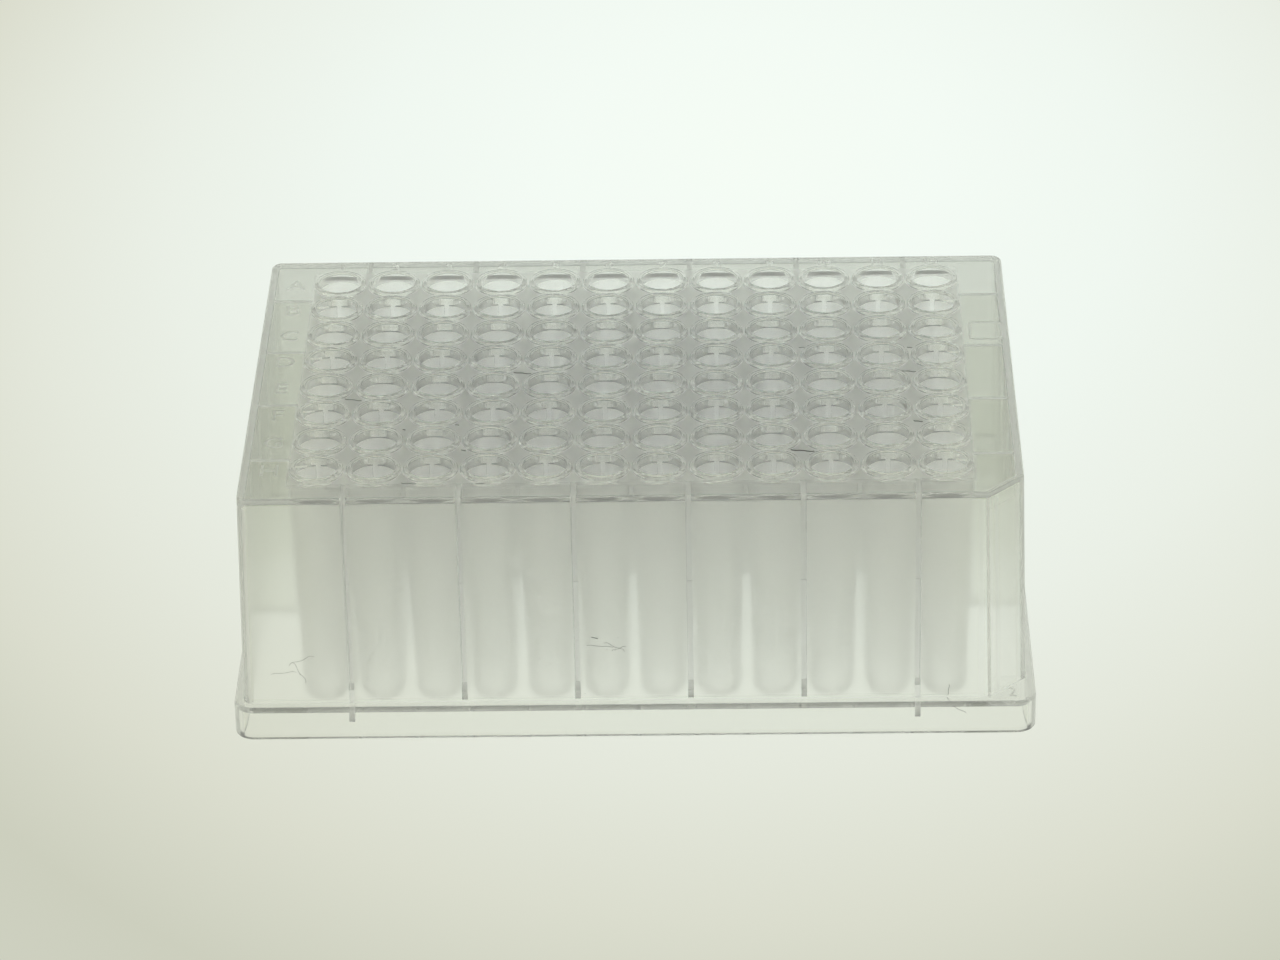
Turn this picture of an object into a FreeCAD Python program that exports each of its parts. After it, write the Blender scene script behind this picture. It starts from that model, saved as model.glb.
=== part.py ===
"""A deep-well plate with 96 wells, moulded in one piece of clear polypropylene.

Millimetres, +Z up. The origin is the middle of the base, on the plane that the skirt stands on.
X runs along the columns, 1 at the left to 12, and Y along the rows, H at the front to A.

The moulding is a drafted box, open below, on a skirt of the standard plate's footprint. Its 96
tapered wells hang from the deck. Webs join them to each other, ribs join the outer ones to the
walls, and each well's mouth stands above the deck as a rim. The box's corner beside well H12 is
cut off, so that a plate can't be laid down the wrong way round unseen.
"""

import FreeCAD, Part
import math
import os

import Sketcher
from FreeCAD import Vector

NODE = "well_plate"

# Alias, value and meaning. Millimetres, except where the meaning says otherwise.
SIZES = [
    ("base_length", 127.76, "skirt along X"),
    ("base_width", 85.48, "skirt along Y"),
    ("base_corner", 3.2, "radius of the skirt's upright corners"),
    ("skirt_height", 5.8, "from the table to the ledge"),
    ("skirt_wall", 1.3, "thickness of the skirt"),
    ("ledge_bevel", 0.6, "bevel on the ledge's outer edge"),
    ("ledge_thickness", 1.3, "thickness of the ledge"),
    ("box_length", 124.7, "box along X at the ledge"),
    ("box_width", 82.4, "box along Y at the ledge"),
    ("box_corner", 1.8, "radius of the box's three round corners"),
    ("corner_cut", 5.7, "how far the fourth corner is cut back along each side"),
    ("box_wall", 1.15, "thickness of the box's walls"),
    ("wall_draft", 1.25, "lean of the walls in degrees"),
    ("deck_height", 42.8, "from the table to the deck's top"),
    ("deck_thickness", 1.35, "thickness of the deck"),
    ("columns", 12, "number of wells along X, even"),
    ("rows", 8, "number of wells along Y, even"),
    ("well_pitch", 9.0, "from one well to the next, both ways"),
    ("mouth_radius", 3.52, "radius of a well at its rim"),
    ("heel_radius", 2.78, "radius of a well where its bottom starts to turn in"),
    ("well_wall", 0.78, "thickness of a well's wall"),
    ("rim_height", 0.7, "from the deck's top to a rim's top"),
    ("heel_height", 4.3, "from the table to where the bottoms start to turn in"),
    ("tip_height", 1.2, "from the table to the tip of a well's bottom"),
    ("floor_thickness", 0.95, "thickness of a well's bottom at its tip"),
    ("web_foot", 24.0, "from the table to the webs' lower edge"),
    ("web_thickness", 0.9, "thickness of the webs between wells"),
    ("rib_thickness", 0.9, "thickness of the ribs between wells and walls"),
    ("rib_foot", 5.8, "from the table to the front and back ribs' lower end"),
    ("long_rib_foot", 2.75, "the same for the outermost of them"),
    ("side_rib_foot", 4.4, "the same for the ribs at the short sides"),
]

# A well has this many flat sides, and the same cross-section as a round one of its radius. Cones
# would give the 96 wells well over 100 000 facets.
WELL_SIDES = 9

doc = FreeCAD.newDocument("WellPlate")


# ---- The sheet of sizes -------------------------------------------------------------------------

sheet = doc.addObject("Spreadsheet::Sheet", "Sizes")
for row, (alias, value, meaning) in enumerate(SIZES, start=1):
    sheet.set(f"A{row}", alias)
    sheet.set(f"B{row}", str(value))
    sheet.set(f"C{row}", meaning)
    sheet.setAlias(f"B{row}", alias)
doc.recompute()


def size(alias):
    """The present value of one of the sheet's cells."""
    return float(sheet.get(alias))


# Expressions that more than one feature is bound to.
DECK_MIDDLE = "(Sizes.deck_height - Sizes.deck_thickness / 2)"
DECK_UNDERSIDE = "(Sizes.deck_height - Sizes.deck_thickness)"
HALF_WALL = "Sizes.box_wall / 2"
LEDGE_MIDDLE = "(Sizes.skirt_height - Sizes.ledge_thickness / 2)"
LAST_COLUMN = "((Sizes.columns - 1) / 2 * Sizes.well_pitch)"
LAST_ROW = "((Sizes.rows - 1) / 2 * Sizes.well_pitch)"
OUTER_RIB_X = "((Sizes.columns - 2) / 2 * Sizes.well_pitch)"
OUTER_RIB_Y = "((Sizes.rows - 2) / 2 * Sizes.well_pitch)"
HEEL_OUTSIDE = "(Sizes.heel_radius + Sizes.well_wall)"


def wall_at(across, height, inset="0"):
    """How far a leaning wall stands from the plate's middle at a height, as an expression."""
    lean = f"({height} - Sizes.skirt_height) * tan(Sizes.wall_draft * 1deg)"
    return f"({across} / 2 - {inset} - {lean})"


# ---- Sketches -----------------------------------------------------------------------------------

def sketch_on(body, role, name, away=None):
    """A sketch on one of the body's own origin planes, away from it along its normal."""
    plane = next(p for p in body.Origin.OriginFeatures if p.Role == role)
    sketch = body.newObject("Sketcher::SketchObject", name)
    sketch.AttachmentSupport = [(plane, "")]
    sketch.MapMode = "FlatFace"
    if away:
        sketch.setExpression(".AttachmentOffset.Base.z", away)
    return sketch


def bind(sketch, constraint, name, expression):
    """Adds a dimension and binds it to an expression on the sheet."""
    index = sketch.addConstraint(constraint)
    sketch.renameConstraint(index, name)
    sketch.setExpression(f"Constraints.{name}", expression)


def value_of(expression):
    """The present value of an expression on the sheet."""
    value = sheet.evalExpression(expression)
    return float(getattr(value, "Value", value))


def add_outline(sketch, length, width, corner):
    """A rectangle about the origin with round corners."""
    half_x, half_y, turn = value_of(length) / 2, value_of(width) / 2, value_of(corner)

    def line(x0, y0, x1, y1):
        return sketch.addGeometry(Part.LineSegment(Vector(x0, y0), Vector(x1, y1)))

    def arc(x, y, start):
        circle = Part.Circle(Vector(x, y), Vector(0, 0, 1), turn)
        return sketch.addGeometry(Part.ArcOfCircle(circle, start, start + math.pi / 2))

    front = line(turn - half_x, -half_y, half_x - turn, -half_y)
    right = line(half_x, turn - half_y, half_x, half_y - turn)
    back = line(half_x - turn, half_y, turn - half_x, half_y)
    left = line(-half_x, half_y - turn, -half_x, turn - half_y)
    bends = [
        arc(half_x - turn, turn - half_y, -math.pi / 2),
        arc(half_x - turn, half_y - turn, 0),
        arc(turn - half_x, half_y - turn, math.pi / 2),
        arc(turn - half_x, turn - half_y, math.pi),
    ]
    for side in (front, back):
        sketch.addConstraint(Sketcher.Constraint("Horizontal", side))
    for side in (left, right):
        sketch.addConstraint(Sketcher.Constraint("Vertical", side))
    for before, bend, after in zip((front, right, back, left), bends, (right, back, left, front)):
        sketch.addConstraint(Sketcher.Constraint("Tangent", before, 2, bend, 1))
        sketch.addConstraint(Sketcher.Constraint("Tangent", bend, 2, after, 1))
    for bend in bends[1:]:
        sketch.addConstraint(Sketcher.Constraint("Equal", bends[0], bend))
    bind(sketch, Sketcher.Constraint("Radius", bends[0], turn), "corner", corner)
    bind(sketch, Sketcher.Constraint("DistanceX", left, 1, -1, 1, half_x), "to_left", f"{length} / 2")
    bind(sketch, Sketcher.Constraint("DistanceX", -1, 1, right, 1, half_x), "to_right", f"{length} / 2")
    bind(sketch, Sketcher.Constraint("DistanceY", front, 1, -1, 1, half_y), "to_front", f"{width} / 2")
    bind(sketch, Sketcher.Constraint("DistanceY", -1, 1, back, 1, half_y), "to_back", f"{width} / 2")


def add_polygon(sketch, corners, name="p"):
    """A closed polygon whose corners are pairs of expressions, each bound to the sheet."""
    points = [Vector(value_of(x), value_of(y)) for x, y in corners]
    sides = [
        sketch.addGeometry(Part.LineSegment(start, end))
        for start, end in zip(points, points[1:] + points[:1])
    ]
    for side, following in zip(sides, sides[1:] + sides[:1]):
        sketch.addConstraint(Sketcher.Constraint("Coincident", side, 2, following, 1))
    for number, (side, point, (x, y)) in enumerate(zip(sides, points, corners)):
        bind(sketch, Sketcher.Constraint("DistanceX", -1, 1, side, 1, point.x), f"{name}{number}_x", x)
        bind(sketch, Sketcher.Constraint("DistanceY", -1, 1, side, 1, point.y), f"{name}{number}_y", y)


# ---- Features -----------------------------------------------------------------------------------

def add_pad(body, name, sketch, length, midplane=False):
    """Extrudes a sketch into material and gives the feature."""
    pad = body.newObject("PartDesign::Pad", name)
    pad.Profile = sketch
    pad.Midplane = midplane
    pad.setExpression("Length", length)
    return pad


def add_drafted(body, kind, name, bottom, top, inset):
    """A block that follows the leaning walls, at an inset from their outside, added or taken away."""
    block = body.newObject(f"PartDesign::{kind}Wedge", name)
    standing = next(p for p in body.Origin.OriginFeatures if p.Role == "XZ_Plane")
    block.AttachmentSupport = [(standing, "")]
    block.MapMode = "FlatFace"
    block.setExpression("Ymin", bottom)
    block.setExpression("Ymax", top)
    for across, low, high in (("length", "Xmin", "Xmax"), ("width", "Zmin", "Zmax")):
        for height, at in ((bottom, ""), (top, "2")):
            reach = wall_at(f"Sizes.box_{across}", height, inset)
            block.setExpression(low[0] + at + low[1:], f"-{reach}")
            block.setExpression(high[0] + at + high[1:], reach)
    return block


def edges_of(feature, wanted):
    """The names of the edges of a feature that pass a test on their end points."""
    doc.recompute()
    return [
        f"Edge{number}"
        for number, edge in enumerate(feature.Shape.Edges, start=1)
        if wanted([vertex.Point for vertex in edge.Vertexes])
    ]


def add_edge_finish(body, kind, name, base, edges, amount):
    """A Fillet or a Chamfer along some of a feature's edges."""
    finish = body.newObject(f"PartDesign::{kind}", name)
    finish.Base = (base, edges)
    finish.setExpression("Radius" if kind == "Fillet" else "Size", amount)
    return finish


def finish_corners(body, name, base, inset, radius, cut):
    """Rounds three upright corners where walls at an inset meet, and cuts off the front right one."""

    def on_walls(point):
        reach_x = value_of(wall_at("Sizes.box_length", str(point.z), inset))
        reach_y = value_of(wall_at("Sizes.box_width", str(point.z), inset))
        return abs(abs(point.x) - reach_x) < 0.01 and abs(abs(point.y) - reach_y) < 0.01

    def is_corner(ends):
        return all(on_walls(end) for end in ends) and abs(ends[0].z - ends[-1].z) > 1

    def is_cut(ends):
        return is_corner(ends) and ends[0].x > 0 > ends[0].y

    chamfer = add_edge_finish(body, "Chamfer", f"{name}Cut", base, edges_of(base, is_cut), cut)
    rounded = edges_of(chamfer, is_corner)
    return add_edge_finish(body, "Fillet", f"{name}Corners", chamfer, rounded, radius)


def add_row(body, name, feature, axis, count, spacing):
    """Repeats a feature along one of the body's own axes. The first copy is the feature itself."""
    row = body.newObject("PartDesign::LinearPattern", name)
    row.Originals = [feature]
    line = next(a for a in body.Origin.OriginFeatures if a.Role == axis)
    row.Direction = (line, [""])
    row.setExpression("Occurrences", count)
    row.setExpression("Length", f"({count} - 1) * {spacing}")
    body.Tip = row
    return row


def add_skirt(body):
    """The skirt that the plate stands on, with a bevelled ledge on top."""
    outside = sketch_on(body, "XY_Plane", "SkirtOutline")
    add_outline(outside, "Sizes.base_length", "Sizes.base_width", "Sizes.base_corner")
    skirt = add_pad(body, "Skirt", outside, "Sizes.skirt_height")
    doc.recompute()
    ledge = size("skirt_height") - 0.01
    rim = edges_of(skirt, lambda ends: all(end.z > ledge for end in ends))
    add_edge_finish(body, "Chamfer", "LedgeBevel", skirt, rim, "Sizes.ledge_bevel")


def hollow_skirt(body):
    """Opens the skirt from below, up to the underside of the ledge."""
    under = sketch_on(body, "XY_Plane", "SkirtHollowOutline")
    add_outline(
        under,
        "(Sizes.base_length - 2 * Sizes.skirt_wall)",
        "(Sizes.base_width - 2 * Sizes.skirt_wall)",
        "(Sizes.base_corner - Sizes.skirt_wall)",
    )
    pocket = body.newObject("PartDesign::Pocket", "SkirtHollow")
    pocket.Profile = under
    pocket.Reversed = True
    pocket.setExpression("Length", "Sizes.skirt_height - Sizes.ledge_thickness")


def add_box(body):
    """The drafted box above the ledge, open from below. Its top is the deck."""
    add_drafted(body, "Additive", "Box", "Sizes.skirt_height", "Sizes.deck_height", "0")
    hollow = add_drafted(body, "Subtractive", "BoxHollow", "0", DECK_UNDERSIDE, "Sizes.box_wall")
    inner_radius = "Sizes.box_corner - Sizes.box_wall"
    inner_cut = "Sizes.corner_cut - (2 - sqrt(2)) * Sizes.box_wall"
    inner = finish_corners(body, "Inner", hollow, "Sizes.box_wall", inner_radius, inner_cut)
    finish_corners(body, "Outer", inner, "0", "Sizes.box_corner", "Sizes.corner_cut")


def add_long_side_ribs(body):
    """Upright ribs between every second pair of columns, from the front and back walls inward."""
    upper = sketch_on(body, "YZ_Plane", "LongSideRib", f"-{OUTER_RIB_X}")
    lower = sketch_on(body, "YZ_Plane", "LongRibFoot", f"-{OUTER_RIB_X}")
    at_deck = wall_at("Sizes.box_width", DECK_MIDDLE, HALF_WALL)
    at_foot = wall_at("Sizes.box_width", "Sizes.rib_foot", HALF_WALL)
    in_skirt = "(Sizes.base_width / 2 - Sizes.skirt_wall / 2)"
    well_face = f"({LAST_ROW} + {HEEL_OUTSIDE})"
    overlap = "(Sizes.rib_foot + Sizes.rib_thickness)"
    for end, sign in (("front", "-"), ("back", "")):
        add_polygon(upper, [
            (sign + LAST_ROW, DECK_MIDDLE),
            (sign + at_deck, DECK_MIDDLE),
            (sign + at_foot, "Sizes.rib_foot"),
            (sign + LAST_ROW, "Sizes.rib_foot"),
        ], end)
        add_polygon(lower, [
            (sign + well_face, overlap),
            (sign + at_foot, overlap),
            (sign + at_foot, LEDGE_MIDDLE),
            (sign + in_skirt, LEDGE_MIDDLE),
            (sign + in_skirt, "Sizes.long_rib_foot"),
            (sign + well_face, "Sizes.long_rib_foot"),
        ], end)
    ribs = add_pad(body, "LongSideRibs", upper, "Sizes.rib_thickness", midplane=True)
    add_row(body, "LongSideRibRow", ribs, "X_Axis", "(Sizes.columns / 2)", "2 * Sizes.well_pitch")
    feet = add_pad(body, "LongRibFeet", lower, "Sizes.rib_thickness", midplane=True)
    add_row(body, "LongRibFootPair", feet, "X_Axis", "2", f"2 * {OUTER_RIB_X}")


def add_short_side_ribs(body):
    """Upright ribs between every second pair of rows, from the short walls inward."""
    rib = sketch_on(body, "XZ_Plane", "ShortSideRib", OUTER_RIB_Y)
    at_deck = wall_at("Sizes.box_length", DECK_MIDDLE, HALF_WALL)
    at_foot = wall_at("Sizes.box_length", "Sizes.side_rib_foot", HALF_WALL)
    for end, sign in (("left", "-"), ("right", "")):
        add_polygon(rib, [
            (sign + LAST_COLUMN, DECK_MIDDLE),
            (sign + at_deck, DECK_MIDDLE),
            (sign + at_foot, "Sizes.side_rib_foot"),
            (sign + LAST_COLUMN, "Sizes.side_rib_foot"),
        ], end)
    ribs = add_pad(body, "ShortSideRibs", rib, "Sizes.rib_thickness", midplane=True)
    add_row(body, "ShortSideRibRow", ribs, "Y_Axis", "(Sizes.rows / 2)", "2 * Sizes.well_pitch")


def add_webs(body):
    """Upright plates under the deck through the wells' middles. The bores cut them up into webs."""
    half_web = "Sizes.web_thickness / 2"
    rise = f"{DECK_MIDDLE} - Sizes.web_foot"
    along_row = sketch_on(body, "XY_Plane", "RowWeb", "Sizes.web_foot")
    add_polygon(along_row, [
        (f"-{LAST_COLUMN}", f"-{LAST_ROW} - {half_web}"),
        (LAST_COLUMN, f"-{LAST_ROW} - {half_web}"),
        (LAST_COLUMN, f"-{LAST_ROW} + {half_web}"),
        (f"-{LAST_COLUMN}", f"-{LAST_ROW} + {half_web}"),
    ])
    row_web = add_pad(body, "RowWebs", along_row, rise)
    add_row(body, "RowWebRow", row_web, "Y_Axis", "Sizes.rows", "Sizes.well_pitch")
    between_rows = sketch_on(body, "XY_Plane", "PairWeb", "Sizes.web_foot")
    for first in range(0, int(size("rows")), 2):
        near = f"({first} * Sizes.well_pitch - {LAST_ROW})"
        far = f"({first + 1} * Sizes.well_pitch - {LAST_ROW})"
        add_polygon(between_rows, [
            (f"-{LAST_COLUMN} - {half_web}", near),
            (f"-{LAST_COLUMN} + {half_web}", near),
            (f"-{LAST_COLUMN} + {half_web}", far),
            (f"-{LAST_COLUMN} - {half_web}", far),
        ], f"pair{first}_")
    pair_web = add_pad(body, "PairWebs", between_rows, rise)
    add_row(body, "PairWebRow", pair_web, "X_Axis", "Sizes.columns", "Sizes.well_pitch")


def flat_sided(rings, tip):
    """A closed solid through level rings of flat sides, (radius, height) from the top, to a tip."""
    step = 2 * math.pi / WELL_SIDES
    corner = math.sqrt(step / math.sin(step))

    def ring(radius, height):
        turns = [(number + 0.5) * step for number in range(WELL_SIDES)]
        reach = radius * corner
        return [Vector(reach * math.cos(turn), reach * math.sin(turn), height) for turn in turns]

    def face(points):
        return Part.Face(Part.makePolygon(points + points[:1]))

    loops = [ring(*pair) for pair in rings]
    faces = [face(loops[0])]
    for upper, lower in zip(loops, loops[1:]):
        for here in range(WELL_SIDES):
            after = (here + 1) % WELL_SIDES
            faces.append(face([upper[here], lower[here], lower[after], upper[after]]))
    for here in range(WELL_SIDES):
        after = (here + 1) % WELL_SIDES
        faces.append(face([loops[-1][here], Vector(0, 0, tip), loops[-1][after]]))
    solid = Part.makeSolid(Part.makeShell(faces))
    if solid.Volume < 0:
        solid.reverse()
    return solid


def at_every_well(name, shape):
    """A copy of a shape at each well's place, as one object of the document."""
    first_x, first_y = -value_of(LAST_COLUMN), -value_of(LAST_ROW)
    pitch = size("well_pitch")
    wells = doc.addObject("Part::Feature", name)
    wells.Shape = Part.makeCompound([
        shape.translated(Vector(first_x + column * pitch, first_y + row * pitch, 0))
        for column in range(int(size("columns")))
        for row in range(int(size("rows")))
    ])
    return wells


def add_well_outsides():
    """The wells' tapered outer walls and bottoms, still solid, from the rims down."""
    wall = size("well_wall")
    rim = size("deck_height") + size("rim_height")
    rings = [(size("mouth_radius") + wall, rim), (size("heel_radius") + wall, size("heel_height"))]
    return at_every_well("WellOutsides", flat_sided(rings, size("tip_height")))


def add_well_bores():
    """The space inside the wells, the same taper inward by the wall."""
    rim = size("deck_height") + size("rim_height")
    rings = [(size("mouth_radius"), rim), (size("heel_radius"), size("heel_height"))]
    floor = size("tip_height") + size("floor_thickness")
    return at_every_well("WellBores", flat_sided(rings, floor))


def build_plate():
    """The whole moulding: the box and its ribs, joined to the wells and then bored."""
    body = doc.addObject("PartDesign::Body", "Shell")
    add_skirt(body)
    hollow_skirt(body)
    add_box(body)
    add_long_side_ribs(body)
    add_short_side_ribs(body)
    add_webs(body)
    solid_wells = doc.addObject("Part::MultiFuse", "SolidWells")
    solid_wells.Shapes = [body, add_well_outsides()]
    plate = doc.addObject("Part::Cut", "WellPlate")
    plate.Base = solid_wells
    plate.Tool = add_well_bores()
    plate.Refine = True
    plate.Label = NODE
    doc.recompute()
    return plate


def check_document():
    """Stops the script if any object of the document has failed."""
    for item in doc.Objects:
        if "Invalid" in item.State or "Error" in item.State:
            raise RuntimeError(f"{item.Name} failed: {item.State}")


def check_volumes():
    """Stops the script if a feature of the shell added or took away nothing."""
    features = [item for item in doc.Shell.Group if item.isDerivedFrom("PartDesign::Feature")]
    volumes = [item.Shape.Volume for item in features]
    for item, before, after in zip(features[1:], volumes, volumes[1:]):
        if abs(after - before) < 1:
            raise RuntimeError(f"{item.Name} changed nothing")
        print(f"{item.Name:18s} {after - before:+11.1f} mm3")


plate = build_plate()
check_document()
check_volumes()
solids = plate.Shape.Solids
if plate.Shape.isNull() or len(solids) != 1 or not solids[0].isValid():
    raise RuntimeError(f"the plate is not one sound solid: {len(solids)} solids")
os.makedirs("parts", exist_ok=True)
solids[0].exportStep(f"parts/{NODE}.step")
box = plate.Shape.BoundBox
print(f"{NODE}: {box.XLength:.2f} x {box.YLength:.2f} x {box.ZLength:.2f} mm")
print(f"volume {plate.Shape.Volume:.0f} mm3 in {len(plate.Shape.Faces)} faces")
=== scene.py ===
# %% [markdown]
# # A deep-well plate in clear plastic
# The plate is one injection moulding in natural polypropylene: a box, open below, on a skirt,
# with 96 round-bottomed wells hanging from its deck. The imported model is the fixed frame. Its
# wells are many-sided to keep it light, so here the same moulding is made again with round
# walls, rounded edges and lips, and it stands in for that node. Everything is in metres in the
# frame's own axes.

import math

import bpy
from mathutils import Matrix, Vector


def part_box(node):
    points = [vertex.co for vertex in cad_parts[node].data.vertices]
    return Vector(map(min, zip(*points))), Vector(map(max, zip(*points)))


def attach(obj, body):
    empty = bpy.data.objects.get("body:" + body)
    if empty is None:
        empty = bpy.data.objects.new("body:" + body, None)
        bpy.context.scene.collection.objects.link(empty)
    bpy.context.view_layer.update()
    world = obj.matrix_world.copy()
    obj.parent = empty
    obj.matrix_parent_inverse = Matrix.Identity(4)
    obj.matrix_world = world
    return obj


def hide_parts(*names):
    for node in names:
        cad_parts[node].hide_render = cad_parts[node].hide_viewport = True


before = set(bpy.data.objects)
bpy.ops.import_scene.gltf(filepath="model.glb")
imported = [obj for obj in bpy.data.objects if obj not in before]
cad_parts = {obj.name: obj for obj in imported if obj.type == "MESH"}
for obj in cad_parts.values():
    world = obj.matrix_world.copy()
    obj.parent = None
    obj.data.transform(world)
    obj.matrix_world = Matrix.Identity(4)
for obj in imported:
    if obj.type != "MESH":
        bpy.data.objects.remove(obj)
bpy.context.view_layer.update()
low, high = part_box("well_plate")
MM = 0.001
print("frame:", [round((b - a) / MM, 2) for a, b in zip(low, high)], "mm")

# %% [markdown]
# The plate's sizes are those of its construction. A standard plate has its wells 9 mm apart both
# ways, so a pipette with eight or twelve tips fits any of them. All walls lean by a degree or
# so, because a moulding has to slide off its steel core. The ribs and webs end at three heights
# inside the deck, so no two of their faces lie in one plane. PAST is how far a cutting block
# sticks out.

# %% Sizes of the moulding
BASE_LENGTH = high.x - low.x
BASE_WIDTH = high.y - low.y
RIM_TOP = high.z
RIM_HEIGHT = 0.7 * MM
DECK_THICKNESS = 1.35 * MM
DECK_TOP = RIM_TOP - RIM_HEIGHT
DECK_UNDER = DECK_TOP - DECK_THICKNESS
LEDGE_TOP = 5.8 * MM
LEDGE_UNDER = 4.5 * MM
SKIRT_WALL = 1.3 * MM
SKIRT_CORNER = 3.2 * MM
BOX_LENGTH = 124.7 * MM
BOX_WIDTH = 82.4 * MM
BOX_WALL = 1.15 * MM
BOX_CORNER = 1.8 * MM
CORNER_CUT = 5.7 * MM
WALL_LEAN = math.tan(math.radians(1.25))
COLUMNS, ROWS, PITCH = 12, 8, 9 * MM
MOUTH_RADIUS = 3.52 * MM
HEEL_RADIUS = 2.78 * MM
WELL_WALL = 0.78 * MM
HEEL_HEIGHT = 4.3 * MM
TIP_HEIGHT = 1.2 * MM
FLOOR_HEIGHT = 2.15 * MM
WEB_FOOT = 24 * MM
WEB_THICKNESS = 0.9 * MM
RIB_THICKNESS = 0.9 * MM
RIB_FOOT = 5.8 * MM
LONG_RIB_FOOT = 2.75 * MM
SIDE_RIB_FOOT = 15 * MM
RIB_TOP = DECK_UNDER + 0.5 * MM
ROW_WEB_TOP = DECK_UNDER + 0.4 * MM
PAIR_WEB_TOP = DECK_UNDER + 0.45 * MM
MARK_HEIGHT = 0.18 * MM
LIP = 0.22 * MM
LAST_COLUMN = (COLUMNS - 1) / 2 * PITCH
LAST_ROW = (ROWS - 1) / 2 * PITCH
PAST = 1 * MM
ROUND_SIDES = 40


def wall_reach(across, height, inset=0.0):
    """How far a leaning wall of the box stands from the middle at a height."""
    return across / 2 - inset - (height - LEDGE_TOP) * WALL_LEAN


print("wells", COLUMNS * ROWS, "first at", round(-LAST_COLUMN / MM, 1), round(LAST_ROW / MM, 1))

# %% [markdown]
# Operators act on whatever is selected, and the frame's nodes come in selected. So each step
# starts by clearing the selection, and picks faces or edges by where they are.

# %% Helpers for selecting
def use_only(piece):
    """Leaves one object selected and active."""
    bpy.ops.object.select_all(action="DESELECT")
    piece.select_set(True)
    bpy.context.view_layer.objects.active = piece


def select_where(piece, kind, wanted):
    """In edit mode, selects the faces or edges whose corners all pass a test, and counts them."""
    use_only(piece)
    bpy.ops.object.mode_set(mode="EDIT")
    bpy.ops.mesh.select_mode(type="FACE" if kind == "faces" else "EDGE")
    bpy.ops.mesh.select_all(action="DESELECT")
    bpy.ops.object.mode_set(mode="OBJECT")
    mesh = piece.data
    picked = 0
    for element in mesh.polygons if kind == "faces" else mesh.edges:
        element.select = wanted([mesh.vertices[i].co for i in element.vertices])
        picked += element.select
    bpy.ops.object.mode_set(mode="EDIT")
    return picked


def leave_edit():
    """Back to object mode."""
    bpy.ops.object.mode_set(mode="OBJECT")


def apply_modifier(piece, modifier):
    """Makes a modifier's result the piece's own mesh."""
    use_only(piece)
    bpy.ops.object.modifier_apply(modifier=modifier.name)


def combine(piece, tool, operation):
    """Joins another solid to a piece, or takes it away, and uses it up."""
    modifier = piece.modifiers.new("combine", "BOOLEAN")
    modifier.operation = operation
    modifier.solver = "MANIFOLD"
    modifier.object = tool
    apply_modifier(piece, modifier)
    bpy.data.objects.remove(tool)


# %% [markdown]
# The skirt and the box are blocks with rounded upright edges, joined into one. Each block starts
# as a cube. For a leaning wall its top face is drawn in before its upright edges are bevelled,
# so that the corner has the same radius all the way up.

# %% Blocks with rounded corners
def block(name, length, width, bottom, top, lean=0.0):
    """A cube stretched to size, with its top face drawn in where the walls lean."""
    bpy.ops.object.select_all(action="DESELECT")
    bpy.ops.mesh.primitive_cube_add(size=1, location=(0, 0, (bottom + top) / 2))
    piece = bpy.context.object
    piece.name = name
    piece.scale = (length, width, top - bottom)
    bpy.ops.object.transform_apply(location=True, rotation=True, scale=True)
    if lean:
        drawn_in = 2 * (top - bottom) * lean
        select_where(piece, "faces", lambda corners: all(c.z > top - 0.1 * MM for c in corners))
        bpy.ops.transform.resize(
            value=(1 - drawn_in / length, 1 - drawn_in / width, 1), center_override=(0, 0, top)
        )
        leave_edit()
    return piece


def bevel_uprights(piece, wanted, amount, segments):
    """Rounds the upright edges whose ends pass a test. One segment makes a flat cut."""

    def upright(ends):
        tall = abs(ends[0].z - ends[1].z) > 1 * MM
        return tall and all(wanted(end) for end in ends)

    select_where(piece, "edges", upright)
    bpy.ops.mesh.bevel(offset=amount, segments=segments, affect="EDGES")
    leave_edit()


def skirt_block(name, inset, bottom, top, corner):
    """An upright block with the skirt's outline, or one drawn in from it."""
    piece = block(name, BASE_LENGTH - 2 * inset, BASE_WIDTH - 2 * inset, bottom, top)
    bevel_uprights(piece, lambda end: True, corner, 8)
    return piece


def box_block(name, inset, bottom, top, corner, cut):
    """A leaning block with the box's outline or one drawn in from it, and with its cut corner."""
    length = 2 * wall_reach(BOX_LENGTH, bottom, inset)
    width = 2 * wall_reach(BOX_WIDTH, bottom, inset)
    piece = block(name, length, width, bottom, top, WALL_LEAN)
    bevel_uprights(piece, lambda end: end.x > 0 > end.y, cut, 1)
    bevel_uprights(piece, lambda end: not end.x > 0 > end.y, corner, 8)
    return piece


shell = skirt_block("plate", 0, 0, LEDGE_TOP, SKIRT_CORNER)
print("skirt block:", len(shell.data.polygons), "faces")

# %% [markdown]
# The skirt's ledge has a rounded outer edge, and so has the deck. Both are bevelled before the
# box is joined to the skirt, while each edge is still easy to pick by its height.

# %% Round the ledge's edge and the deck's edge
def round_rim_at(piece, height, amount, segments):
    """Rounds the edges of a block that lie level at a height."""

    def at_height(ends):
        return all(abs(end.z - height) < 0.01 * MM for end in ends)

    picked = select_where(piece, "edges", at_height)
    bpy.ops.mesh.bevel(offset=amount, segments=segments, affect="EDGES")
    leave_edit()
    print(piece.name, "edge at", round(height / MM, 2), "mm:", picked, "edges rounded")


round_rim_at(shell, LEDGE_TOP, 0.6 * MM, 4)
round_rim_at(shell, 0, 0.25 * MM, 2)
box = box_block("box", 0, LEDGE_TOP - 0.5 * MM, DECK_TOP, BOX_CORNER, CORNER_CUT)
round_rim_at(box, DECK_TOP, 0.35 * MM, 3)
combine(shell, box, "UNION")

# %% [markdown]
# Two more blocks take out the inside, each drawn in by a wall's thickness. The wall across the
# cut corner is as thick as the others, which makes its inner cut a little shorter than the outer
# one.

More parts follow.
